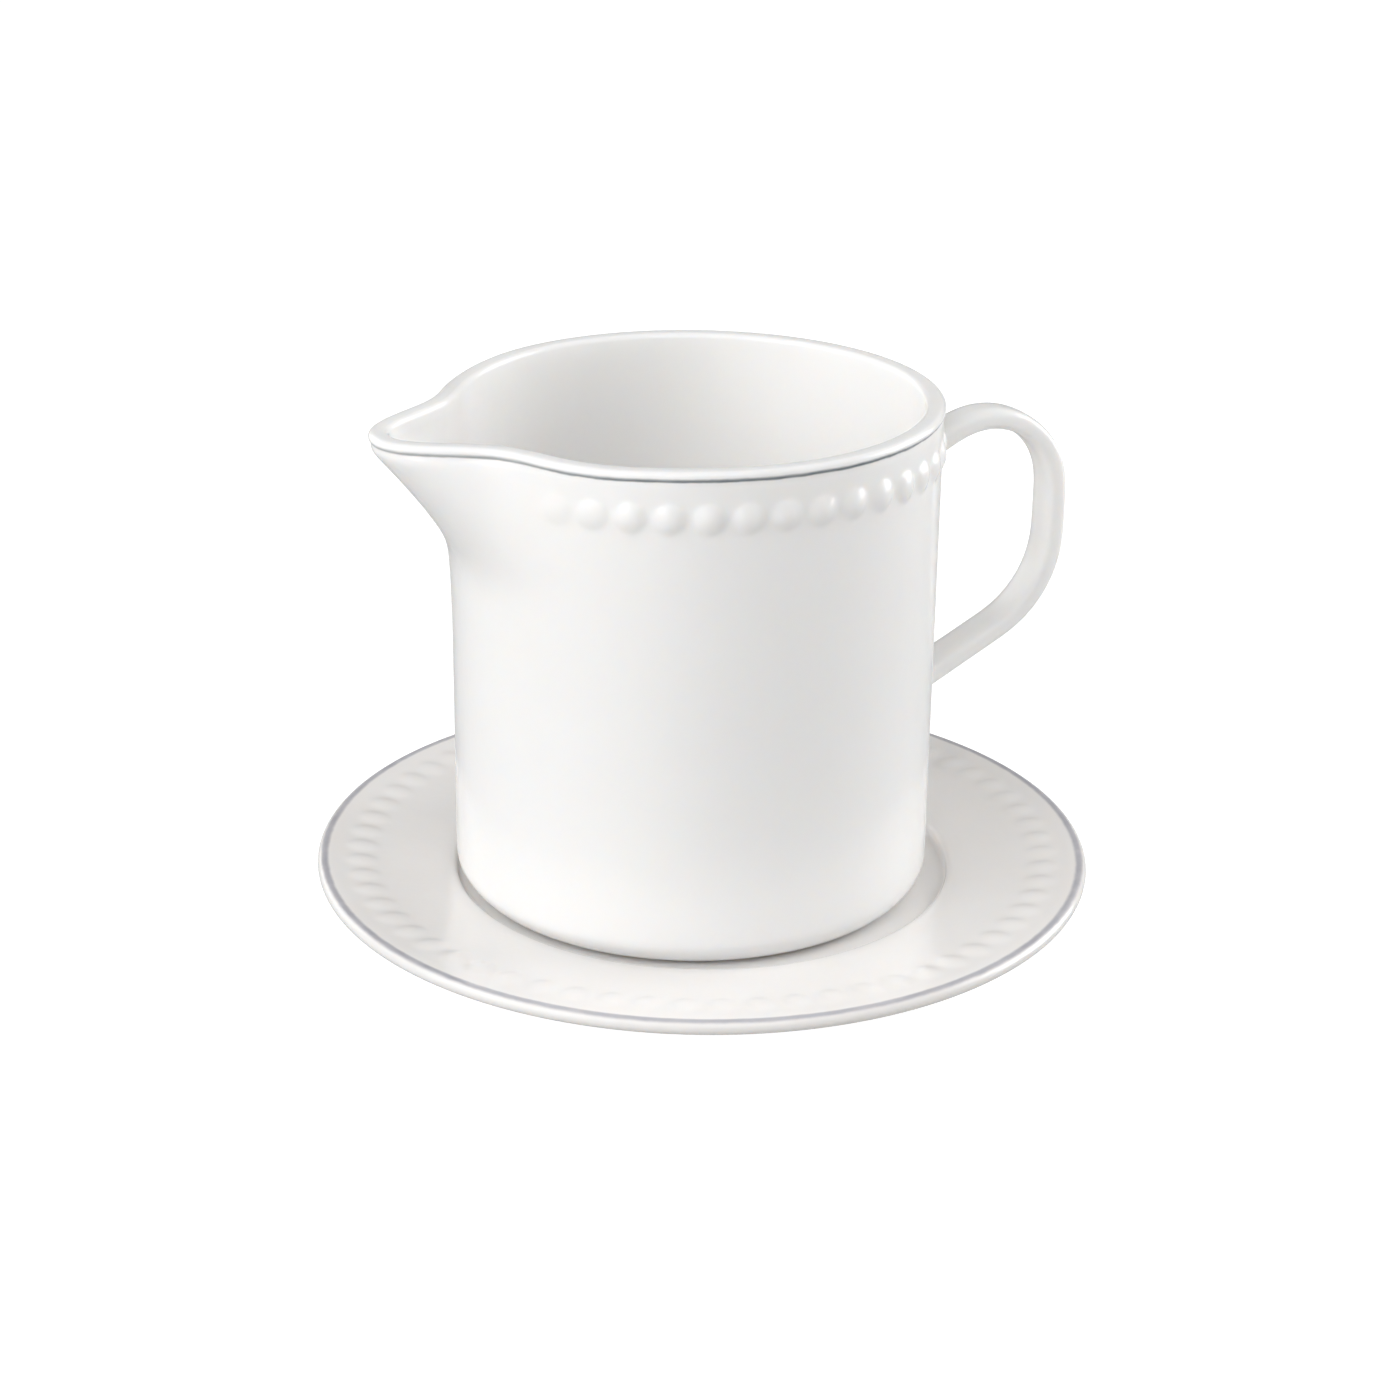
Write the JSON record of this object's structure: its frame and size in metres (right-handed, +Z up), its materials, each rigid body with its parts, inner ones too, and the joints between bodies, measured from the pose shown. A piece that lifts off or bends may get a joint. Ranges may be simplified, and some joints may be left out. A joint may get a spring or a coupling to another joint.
{
  "type": "gravy boat",
  "caption": "Straight-sided gravy jug with a pouring spout, strap handle and beaded band, standing in the well of its beaded saucer.",
  "frame": {"origin": "on the saucer's axis, at the plane of the table under its foot ring", "axes": "+Z up; +X towards the handle and -X towards the spout; the XZ plane is the plane of symmetry"},
  "size_m": [0.1727, 0.1706, 0.1161],
  "materials": {
    "jug_glaze": "clear gloss glaze over white porcelain, thin grey-blue line under the lip",
    "saucer_glaze": "clear gloss glaze over white porcelain, soft grey-lilac line inside the edge"
  },
  "bodies": {
    "saucer": {"saucer": "saucer_glaze"},
    "jug": {"jug_body": "jug_glaze", "jug_handle": "jug_glaze"}
  },
  "joints": [
    {"name": "jug_lift", "type": "slide", "parent": "saucer", "child": "jug", "axis": [0, 0, 1], "range_m": [0, 0.12]}
  ]
}
